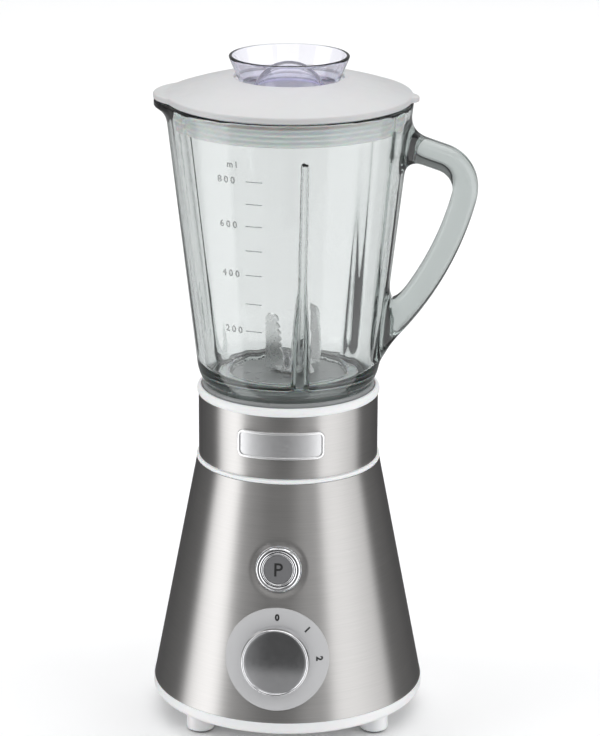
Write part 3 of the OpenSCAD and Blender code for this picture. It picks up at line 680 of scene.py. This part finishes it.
def handle_distance(x, y, z):
    """Distance to the handle: one rounded section along two arcs and the straight arm above them."""
    d = arc_distance(x, z, BEND, BEND_END, BEND_TOP)
    d = np.minimum(d, arc_distance(x, z, SWEEP, SWEEP_END, BEND_END))
    px = BEND[0] + BEND[2] * math.cos(BEND_TOP)
    pz = BEND[1] + BEND[2] * math.sin(BEND_TOP)
    ux, uz = -math.sin(BEND_TOP), math.cos(BEND_TOP)
    t = np.clip((x - px) * ux + (z - pz) * uz, 0, HANDLE_ARM)
    d = np.minimum(d, np.hypot(x - px - ux * t, z - pz - uz * t))
    return box_distance(d, y, HANDLE_HALF_T, HANDLE_HALF_W, HANDLE_CORNER)


def spout_distance(x, y, z, top_r, lift):
    """Distance to the spout's lobe: a cone under an upright lip."""
    r = np.hypot(x + SPOUT_X, y)
    low = Z_GLASS - SPOUT_CONE - SPOUT_LIP + lift
    edge = low + SPOUT_CONE
    low_r = top_r - SPOUT_CONE_W
    top = edge + SPOUT_LIP
    outline = [(0, low), (low_r, low), (top_r, edge), (top_r, top), (0, top)]
    return outline_distance(outline, r, z)


FOOT_R = 40.3
NECK_R = 42.3
FLOOR_R = 36
BORE_R = 36.4
HOLE_R = 29.7
JUG_OUTSIDE = (
    [(0, FOOT_LOW), (FOOT_R, FOOT_LOW), (FOOT_R, Z_RIM - 0.4)]
    + [(NECK_R, Z_RIM - 0.4), (NECK_R, Z_RIM + 1.6)]
    + arc((42.5, Z_RIM + 1.9), (JUG_LOW_R, Z_WALL), 22, 12)
    + arc((JUG_RIM_R - 0.1, Z_GLASS - 1.2), (JUG_RIM_R - 1.4, Z_GLASS), 1.4, 5)
    + [(0, Z_GLASS)]
)
CAVITY_Z = GLASS_FLOOR + 7.5
CAVITY_R = glass_r(CAVITY_Z) - GLASS_T
JUG_CAVITY = (
    [(0, GLASS_FLOOR), (FLOOR_R, GLASS_FLOOR)]
    + arc((CAVITY_R - 5.5, GLASS_FLOOR), (CAVITY_R, CAVITY_Z), 8, 8)
    + [(JUG_RIM_R - GLASS_T, Z_GLASS), (JUG_RIM_R - GLASS_T, Z_GLASS + 20), (0, Z_GLASS + 20)]
)
JUG_BORE = (
    [(0, FOOT_LOW - 9), (BORE_R, FOOT_LOW - 9), (BORE_R, Z_RIM + 0.8)]
    + [(HOLE_R, Z_RIM + 0.8), (HOLE_R, Z_RIM + 30), (0, Z_RIM + 30)]
)
RIB_TOP = Z_GLASS - 20.5
RIB_LOW = GLASS_FLOOR - 2
RIB_LOW_R = 36.5
RIB_TOP_R = 54.6
RIB_BOW = 1.5
RIB_HALF = 1.35
RIB_FLARE = 2.0
# Ribs: angle, how softly each runs into the wall, and how much it is thinned.
RIBS = ((-77, 1.4, 0), (43, 5.0, 1.2), (163, 5.0, 1.2))
JUG_VOXEL = 1.15


def smooth(share):
    return share * share * (3 - 2 * share)


def rib_distance(x, y, z, turn):
    """Distance to a rib, a leaning blade on the wall's inside that is thicker towards the floor."""
    a = math.radians(turn)
    along = x * math.cos(a) + y * math.sin(a)
    across = -x * math.sin(a) + y * math.cos(a)
    share = np.clip((z - RIB_LOW) / (RIB_TOP - RIB_LOW), 0, 1)
    edge = RIB_LOW_R + (RIB_TOP_R - RIB_LOW_R) * share + RIB_BOW * np.sin(share * math.pi)
    width = RIB_HALF + RIB_FLARE * smooth(np.clip((0.5 - share) / 0.3, 0, 1))
    reach = np.maximum(edge - along, 0)
    above = np.maximum(z - RIB_TOP, 0)
    return np.sqrt(reach ** 2 + across ** 2 + above ** 2) - width


def jug_distance(p):
    """Signed distance to the jug's glass, in mm, with faint waves on the inside as pressing leaves."""
    x, y, z = p[:, 0], p[:, 1], p[:, 2]
    r = np.hypot(x, y)
    turn = np.arctan2(y, x)
    solid = soft_min(outline_distance(JUG_OUTSIDE, r, z), handle_distance(x, y, z), HANDLE_BLEND)
    solid = soft_min(solid, spout_distance(x, y, z, SPOUT_R, 0.0), SPOUT_BLEND)
    solid = soft_max(solid, z - Z_GLASS, RIM_BLEND)
    ripple = 0.10 * np.sin(turn * 17 + 1.3) + 0.07 * np.sin(turn * 29 + 0.4 + z * 0.02)
    hollow = outline_distance(JUG_CAVITY, r, z) + ripple * np.clip((z - CAVITY_Z) / 20, 0, 1)
    inside = spout_distance(x, y, z, SPOUT_R - GLASS_T + 0.4, 4.0)
    hollow = soft_min(hollow, inside, SPOUT_BLEND)
    for start, blend, fade in RIBS:
        hollow = soft_max(hollow, -rib_distance(x, y, z, start) - fade, blend)
    hollow = np.minimum(hollow, outline_distance(JUG_BORE, r, z))
    return soft_max(solid, -hollow, EDGE_BLEND)


def make_jug(materials):
    """Jug mesh: the CAD solid remeshed, then its points moved onto the smooth shape."""
    source = nodes["jug_glass"].data.copy()
    holder = bpy.data.objects.new("jug_source", source)
    scene.collection.objects.link(holder)
    remesh = holder.modifiers.new("remesh", "REMESH")
    remesh.mode = "VOXEL"
    remesh.voxel_size = JUG_VOXEL * MM
    mesh = bpy.data.meshes.new_from_object(holder.evaluated_get(bpy.context.evaluated_depsgraph_get()))
    bpy.data.objects.remove(holder)
    points = np.empty(len(mesh.vertices) * 3, np.float32)
    mesh.vertices.foreach_get("co", points)
    points = points.reshape(-1, 3).astype(float) / MM
    step, rounds, farthest = 0.05, 5, 1.5
    for _ in range(rounds):
        here = jug_distance(points)
        slope = np.stack(
            [(jug_distance(points + step * axis) - here) / step for axis in np.eye(3)], axis=1
        )
        length = np.maximum((slope ** 2).sum(1), 0.25)
        points -= np.clip(here / length, -farthest, farthest)[:, None] * slope
    mesh.vertices.foreach_set("co", (points * MM).astype(np.float32).ravel())
    mesh.update()
    jug = finish_piece("jug_body", mesh, materials["glass"], "jug", "glass", "jug_glass", angle=75)
    jug.visible_shadow = False


# ---- lid, seal and cap ----

LID_ROUND = 1.2
LID_LIP = 0.7
LIP_OUT = 2.2
LIP_IN = 2.6
TAB_R = 7.0


def crown(r, drop=0.0):
    return CROWN_Z + np.sqrt((CROWN_R - drop) ** 2 - np.minimum(r, LID_R) ** 2)


def lid_reach(turn):
    """Distance from the drive axis to the lid's edge at each angle: circle, spout lobe and tab."""
    c, s = np.cos(turn), np.sin(turn)

    def circle(cx, radius):
        b = cx * c
        q = np.maximum(b * b - cx * cx + radius * radius, 0)
        hit = np.abs(cx * s) < radius
        return np.where(hit, b + np.sqrt(q), 0)

    lobe = circle(-(SPOUT_X - 1.2), SPOUT_R + 1.5)
    reach = -soft_min(-lobe, -np.full(turn.shape, LID_R), 0.8)
    tab = circle(LID_R + 3.2 - TAB_R, TAB_R)
    return -soft_min(-reach, -tab, 1.6)


def make_lid(materials):
    """Lid plate with its plug ring: one section, carried round with the edge following the plan."""
    count = 384
    turn = np.arange(count) * 2 * math.pi / count
    reach = lid_reach(turn)
    rows = []

    def at(r, z):
        rows.append((np.zeros(count) + r, np.zeros(count) + z))

    at(LID_HOLE_R, crown(LID_HOLE_R, LID_T) + 0.3)
    at(LID_HOLE_R, crown(LID_HOLE_R) - 0.7)
    at(LID_HOLE_R + 0.15, crown(LID_HOLE_R) - 0.25)
    at(LID_HOLE_R + 0.55, crown(LID_HOLE_R + 0.55))
    for share in np.linspace(0.04, 1, 26):
        r = LID_HOLE_R + 0.7 + (reach - LID_ROUND - LID_HOLE_R - 0.7) * share
        at(r, crown(r))
    edge = reach - LID_ROUND
    for angle in (25, 50, 75, 90):
        a = math.radians(angle)
        at(edge + LID_ROUND * math.sin(a), crown(edge) - 1.0 * (1 - math.cos(a)))
    lip = crown(reach, LID_T) - LID_LIP
    at(reach - 0.02, lip + 0.35)
    at(reach - 0.35, lip + 0.08)
    at(reach - 0.8, lip)
    at(reach - LIP_OUT, lip)
    at(reach - LIP_IN, crown(reach - LIP_IN, LID_T))
    for share in np.linspace(0.3, 1, 4):
        r = reach - LIP_IN + (PLUG_R + 0.3 - reach + LIP_IN) * share
        at(r, crown(r, LID_T))
    at(PLUG_R, crown(PLUG_R, LID_T) - 0.4)
    at(PLUG_R, SEAL_LOW + 0.7)
    at(PLUG_R - 0.4, SEAL_LOW + 0.4)
    at(PLUG_R - 1.6, SEAL_LOW + 0.4)
    at(PLUG_R - 2, SEAL_LOW + 0.7)
    at(PLUG_R - 2, crown(PLUG_R - 2, LID_T) - 0.4)
    for share in np.linspace(0, 1, 8):
        r = PLUG_R - 2.4 + (LID_HOLE_R + 0.4 - PLUG_R + 2.4) * share
        at(r, crown(r, LID_T))
    points = [
        (r[i] * math.cos(turn[i]), r[i] * math.sin(turn[i]), z[i]) for r, z in rows for i in range(count)
    ]
    faces = ring_faces(len(rows), count, closed=True)
    # The lid takes the darker copy of the white plastic: painted shade on its top.
    new_piece("lid_top", points, faces, materials["lid_white"], "lid", "white_plastic", "lid_plate")


def make_seal(materials):
    """Ribbed seal round the plug ring: four fins that reach to the glass."""
    fins, pitch = 4, 2.6
    base = PLUG_R + 1.4
    profile = [(PLUG_R + 0.05, SEAL_LOW)]
    for i in range(fins):
        z = SEAL_LOW + i * pitch
        r = glass_r(z) - GLASS_T - 0.45
        profile += [(base, z, 0.3), (r, z + 0.1, 0.5), (r, z + 1.2, 0.5), (base, z + 1.3, 0.4)]
    profile += [(base, Z_LID - 1.4, 0.3), (PLUG_R + 0.05, Z_LID - 1.4)]
    points, faces = spun(rounded(profile, 0.1, 3), 192, closed=True)
    new_piece("lid_gasket", points, faces, materials["seal_rubber"], "lid", "seal_rubber", "lid_seal")


def make_cap(materials):
    """Measuring cap: a flared cup with a small dome in its floor, drawn as one thin wall."""
    dome_r, dome_h, steps = 17.2, 11.2, 18
    curve = (dome_r ** 2 + dome_h ** 2) / (2 * dome_h)
    inner = curve - CAP_T
    neck_z = CAP_TOP - 14.4
    floor_z = neck_z - 0.3
    centre = floor_z + dome_h - curve
    outer_end = math.asin(dome_r / curve)
    inner_end = math.acos((curve - dome_h - CAP_T) / inner)

    def dome(radius, end, i):
        return (radius * math.sin(end * i / steps), centre + radius * math.cos(end * i / steps), 0)

    under = [dome(inner, inner_end, i) for i in range(steps)]
    over = [dome(curve, outer_end, i) for i in range(steps - 1, -1, -1)]
    profile = under + [
        (dome_r - 1.3, floor_z - CAP_T, 0.8),
        (CAP_NECK_R - CAP_T, floor_z - CAP_T, 0.8),
        (CAP_NECK_R - CAP_T, CAP_LOW, 0.5),
        (CAP_NECK_R, CAP_LOW, 0.5),
        (CAP_NECK_R, neck_z, 1.5),
        (CAP_R - 0.15, CAP_TOP - 1.3, 0.5),
        (CAP_R, CAP_TOP - 0.6, 0.4),
        (CAP_R - 0.5, CAP_TOP - 0.02, 0.6),
        (CAP_R - 1.5, CAP_TOP - 0.2, 0.5),
        (CAP_NECK_R - CAP_T + 0.5, floor_z, 1.6),
        (dome_r + 0.1, floor_z, 0.7),
    ] + over
    points, faces = spun(rounded(profile, 0.3, 5, closed=False), 192)
    plastic = materials["clear_plastic"]
    cap = new_piece("measuring_cap", points, faces, plastic, "cap", "clear_plastic", "cap")
    cap.visible_shadow = False


# ---- controls on the skirt ----

def skirt_spun(name, profile, z, material, body, slot, *replaced, count=144, closed=False):
    """Turned piece that stands on the skirt's front at height z."""
    points, faces = spun(profile, count, closed)
    new_piece(name, moved(points, on_skirt(z)), faces, material, body, slot, *replaced)


def make_controls(materials):
    """Pulse button and speed knob. Each profile point is radius, height and corner radius."""
    chrome = materials["chrome"]
    r = PULSE_R
    ring = rounded(
        [
            (r + 0.3, -2.6, 0), (r + 1.1, -2.6, 0), (r + 1.1, -2.2, 0), (r + 2.5, -2.2, 0),
            (r + 2.6, 0.8, 0.5), (r + 2.0, 1.5, 0.9), (r + 0.9, 1.6, 0.7), (r + 0.3, 1.1, 0.5),
        ],
        0.3, 5,
    )
    skirt_spun(
        "pulse_ring", ring, PULSE_Z, chrome, "base", "chrome", "pulse_bezel", count=160, closed=True
    )
    button = rounded(
        [
            (0, -10.2, 0), (2.5, -10.2, 0.2), (2.5, -1.6, 0.3), (r - 1.3, -1.6, 0.2),
            (r - 1.3, -6, 0.1), (r, -6, 0.3), (r, 1.0, 0.5), (r - 0.55, 1.35, 0.5),
            (r - 1.2, 1.15, 0.3), (r - 1.25, 0.2, 0.1), (0, 0.2, 0),
        ],
        0.2, 4, closed=False,
    )
    skirt_spun("pulse_shell", button, PULSE_Z, chrome, "pulse", "chrome", "pulse_button")
    insert = rounded(
        [
            (0, 0.25, 0), (r - 1.3, 0.25, 0), (r - 1.3, 0.95, 0.25),
            (r - 1.9, 1.02, 0.2), (0, 1.05, 0),
        ],
        0.2, 4, closed=False,
    )
    grey, black = materials["grey_plastic"], materials["print_black"]
    skirt_spun("pulse_disc", insert, PULSE_Z, grey, "pulse", "grey_plastic", "pulse_insert")
    points, faces = lettering("P", 6.6, 0.1, 0.08)
    points[:, 2] += 1.06
    new_piece("pulse_letter", moved(points, on_skirt(PULSE_Z)), faces, black, "pulse", None)
    r = KNOB_R
    face = KNOB_H - 1.8
    rim = rounded(
        [
            (0, 2.6, 0), (6.2, 2.6, 0.2), (6.2, face - 1.2, 0.3), (r - 2, face - 1.2, 0.2),
            (r - 2, 1.2, 0.2), (r - 0.4, 1.2, 0.4), (r, 1.9, 0.4), (r - 0.15, face - 0.8, 0.9),
            (r - 0.75, face + 0.85, 0.5), (r - 1.45, face + 1.1, 0.4),
            (r - 1.75, face + 0.7, 0.2), (r - 1.75, face + 0.05, 0.1), (0, face + 0.05, 0),
        ],
        0.2, 4, closed=False,
    )
    skirt_spun("knob_shell", rim, KNOB_Z, chrome, "knob", "chrome", "knob_rim", count=192)
    edge = r - 1.8
    foot = face + 0.25
    rise = KNOB_H - face - 0.25
    shares = [1 - i / 14 for i in range(1, 15)]
    crest = [(edge * share, foot + rise * (1 - share ** 2) * 0.62, 0) for share in shares]
    under = [(0, face + 0.06, 0), (edge, face + 0.06, 0), (edge, foot, 0.1)]
    disc = rounded(under + crest, 0.1, 3, closed=False)
    mirror = materials["knob_mirror"]
    skirt_spun("knob_disc", disc, KNOB_Z, mirror, "knob", "chrome", "knob_face", count=192)


def make_pulse_spring(materials):
    """Return spring of the pulse button, a coil behind it attached to no body."""
    radius, wire, turns, low, high = 4.9, 0.45, 3, -8.8, -2.2
    count, sides = 28 * turns, 10
    points = []
    for i in range(count + 1):
        a = 2 * math.pi * turns * i / count
        z = low + (high - low) * i / count
        for k in range(sides):
            b = 2 * math.pi * k / sides
            r = radius + wire * math.cos(b)
            points.append((r * math.cos(a), r * math.sin(a), z + wire * math.sin(b)))
    faces = ring_faces(count + 1, sides)
    faces += [list(range(sides)), [count * sides + k for k in range(sides)]]
    skirt = on_skirt(PULSE_Z)
    points = moved(points, skirt)
    spring = new_piece("return_spring", points, faces, materials["steel"], None, "steel", "pulse_spring")
    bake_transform(spring)


def make_dial_marks(materials):
    """Printed 0, 1 and 2, laid on the dial plate round the knob."""
    mark_r, plate = 21.5, 0.78
    for name, text, turn in (("dial_mark_0", "0", 0), ("dial_mark_1", "1", 45), ("dial_mark_2", "2", 90)):
        points, faces = lettering(text, 3.0, 0.08, 0.22)
        points[:, 1] += mark_r
        a = math.radians(turn)
        c, s = math.cos(a), math.sin(a)
        x, y, rise = points.T
        flat = np.stack([x * c + y * s, -x * s + y * c, np.zeros(len(x))], axis=1)
        world = moved(flat, on_skirt(KNOB_Z))
        out = skirt_r(world[:, 2]) + plate / math.cos(TILT) + rise
        world[:, 1] = -np.sqrt(np.maximum(out ** 2 - world[:, 0] ** 2, 0))
        new_piece(name, world, faces, materials["print_black"], "base", None)


# Volume marks: how far each is below the rim, and its number.
MARK_ROWS = (
    (29.0, "800"), (40.4, ""), (51.8, "600"), (64.4, ""), (77.2, "400"), (92.2, ""), (106.6, "200"),
)
MARK_SPAN = 78
# Angle from the front of the top row, and how much further left the lowest row stands.
BAR_TURN = (-11.7, 3.4)
TEXT_TURN = (-26.2, 1.5)
UNIT_DROP = 20.8
UNIT_TURN = -22.5
LETTER_T = 0.3
LETTER_BOLD = 0.08
LETTER_LIFT = 0.06


def make_marks(materials):
    """Raised volume marks on the outside of the glass, left of the middle."""
    lean = math.atan((JUG_RIM_R - JUG_LOW_R) / (Z_GLASS - Z_WALL))
    width, half_h, sunk, proud = 8.3, 0.22, -0.1, 0.22
    bar = np.array(
        [(sx * width / 2, sy * half_h, h) for h in (sunk, proud) for sx in (-1, 1) for sy in (-1, 1)],
        float,
    )
    cells = [[0, 1, 3, 2], [4, 6, 7, 5], [0, 4, 5, 1], [2, 3, 7, 6], [0, 2, 6, 4], [1, 5, 7, 3]]
    points, faces = [], []

    def add(flat, parts, z, turn):
        high = z + flat[:, 1] * math.cos(lean)
        out = glass_r(high) + flat[:, 2]
        a = math.radians(turn) + flat[:, 0] / out
        faces.extend([[i + len(points) for i in part] for part in parts])
        points.extend(np.stack([out * np.sin(a), -out * np.cos(a), high], axis=1).tolist())

    def write(text, size, z, turn):
        flat, parts = lettering(text, size, LETTER_T, LETTER_BOLD)
        flat[:, 2] += LETTER_LIFT
        add(flat, parts, z, turn)

    for drop, text in MARK_ROWS:
        z = Z_GLASS - drop
        share = (drop - MARK_ROWS[0][0]) / MARK_SPAN
        add(bar, cells, z, BAR_TURN[0] - BAR_TURN[1] * share)
        if text:
            write(" ".join(text), 3.3, z + 0.2, TEXT_TURN[0] - TEXT_TURN[1] * share)
    write("m l", 3.1, Z_GLASS - UNIT_DROP, UNIT_TURN)
    new_piece("volume_marks", points, faces, materials["glass_mark"], "jug", "glass")


# ---- badge: blank field in a raised border ----

# Section of the border: how far in from the badge's edge, and how far out from the collar.
BADGE_SECTION = (
    (0, 0.02), (0, 0.95), (0.12, 1.2), (0.32, 1.3), (0.95, 1.3), (1.15, 1.22), (1.28, 1.0), (1.3, 0.02),
)
BADGE_CORNER = 3.4
FIELD_INSET = 1.27
FIELD_CORNER = 2.1


def badge_loop(half_w, half_h, radius):
    """Points of a rounded rectangle, with the same count whatever its size."""
    found = []
    corners = ((1, 1, 0), (-1, 1, 90), (-1, -1, 180), (1, -1, 270))
    for (sx, sy, start), (tx, ty, _) in zip(corners, corners[1:] + corners[:1]):
        cx, cy = sx * (half_w - radius), sy * (half_h - radius)
        turns = [math.radians(start + 90 * k / 8) for k in range(9)]
        found += [(cx + radius * math.cos(a), cy + radius * math.sin(a)) for a in turns]
        x0, y0 = found[-1]
        nx, ny = tx * (half_w - radius), ty * (half_h - radius)
        a = math.radians(start + 90)
        x1, y1 = nx + radius * math.cos(a), ny + radius * math.sin(a)
        steps = 28 if sy == ty else 8
        found += [(x0 + (x1 - x0) * k / steps, y0 + (y1 - y0) * k / steps) for k in range(1, steps)]
    return found


def make_badge(materials):
    """Raised border and blank field, both bent round the collar."""
    low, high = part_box("badge_plate")
    half_w = (high.x - low.x) / 2 / MM
    half_h = (high.z - low.z) / 2 / MM
    middle = (high.z + low.z) / 2 / MM
    collar = half_width("collar_band")

    def lay(flat, out):
        return [(x, -math.sqrt((collar + out) ** 2 - x * x), middle + y) for x, y in flat]

    points = []
    for inset, out in BADGE_SECTION:
        points += lay(badge_loop(half_w - inset, half_h - inset, BADGE_CORNER - inset), out)
    rings = len(BADGE_SECTION)
    faces = ring_faces(rings, len(points) // rings, closed=True)
    silver = materials["satin_silver"]
    new_piece("badge_rim", points, faces, silver, "base", "satin_silver", "badge_plate")
    wide, tall, radius = half_w - FIELD_INSET, half_h - FIELD_INSET, FIELD_CORNER
    front, behind, steps = 0.72, 0.1, 72
    points = []
    for k in range(steps + 1):
        x = -wide * math.cos(math.pi * k / steps)
        past = max(abs(x) - wide + radius, 0)
        y = tall - radius + math.sqrt(max(radius ** 2 - past ** 2, 0))
        points += lay([(x, -y), (x, y)], front) + lay([(x, y), (x, -y)], behind)
    faces = ring_faces(steps + 1, 4)
    faces += [[3, 2, 1, 0], [4 * steps + i for i in range(4)]]
    new_piece("badge_field", points, faces, materials["badge_silver"], "base", "satin_silver")


# ---- steel skirt with the shallow dish round the pulse button ----

DISH_FLAT_R = 11.2
DISH_R = 15.2
DISH_DEEP = 1.05
PULSE_HOLE_R = PULSE_R + 2.3
KNOB_HOLE_R = 5.2
GLAND_HOLE_R = 6.1


def make_skirt(materials):
    """Skirt sheet, pressed in at the front round the pulse button, with its three holes cut out."""
    rows, count, half, behind = 110, 480, 20, -12
    heights = [Z_SKIRT + (Z_MID - Z_SKIRT) * k / rows for k in range(rows + 1)]
    outer = [(skirt_r(z), z) for z in heights]
    inner = [(r - SHEET_T, z) for r, z in reversed(outer)]
    points, faces = spun(outer + inner, count, closed=True)
    local = moved(points, on_skirt(PULSE_Z).inverted())
    away = np.hypot(local[:, 0], local[:, 1])
    share = np.clip((away - DISH_FLAT_R) / (DISH_R - DISH_FLAT_R), 0, 1)
    dip = DISH_DEEP * (1 - smooth(share)) * (local[:, 2] > behind)
    normal = np.array(on_skirt(PULSE_Z))[:3, 2]
    points = np.asarray(points, float) - dip[:, None] * normal
    mesh = bpy.data.meshes.new("skirt")
    mesh.from_pydata([tuple(p) for p in points * MM], [], faces)
    body = bpy.data.objects.new("skirt_source", mesh)
    scene.collection.objects.link(body)
    cutters = []
    gland = Matrix.Translation((0, skirt_r(GLAND_Z), GLAND_Z)) @ Matrix.Rotation(math.pi / 2, 4, "X")
    holes = (
        (on_skirt(PULSE_Z), PULSE_HOLE_R),
        (on_skirt(KNOB_Z), KNOB_HOLE_R),
        (gland, GLAND_HOLE_R),
    )
    for spot, r in holes:
        p, f = spun([(0, -half), (r, -half), (r, half), (0, half)], 96)
        shape = bpy.data.meshes.new("cutter")
        shape.from_pydata([tuple(v) for v in moved(p, spot) * MM], [], f)
        cutter = bpy.data.objects.new("cutter", shape)
        scene.collection.objects.link(cutter)
        cut = body.modifiers.new("cut", "BOOLEAN")
        cut.operation = "DIFFERENCE"
        cut.solver = "EXACT"
        cut.object = cutter
        cutters.append(cutter)
    bpy.context.view_layer.update()
    final = bpy.data.meshes.new_from_object(body.evaluated_get(bpy.context.evaluated_depsgraph_get()))
    for o in (body, *cutters):
        bpy.data.objects.remove(o)
    finish_piece("steel_skirt", final, materials["brushed_steel"], "base", "brushed_steel", "base_skirt")


make_camera()
make_world()
make_light()
make_floor()

materials = make_materials()
slots = {part["node"]: part["material_slot"] for part in frame["record"]["subparts"]}
finishes = {"dial_plate": "dial_silver", "blade_base": "base_grey"}
for name, node in nodes.items():
    node.data.materials.clear()
    node.data.materials.append(materials[finishes.get(name, slots[name])])

make_lid(materials)
make_seal(materials)
make_cap(materials)
make_controls(materials)
make_pulse_spring(materials)
make_dial_marks(materials)
make_marks(materials)
make_badge(materials)
make_skirt(materials)
make_jug(materials)
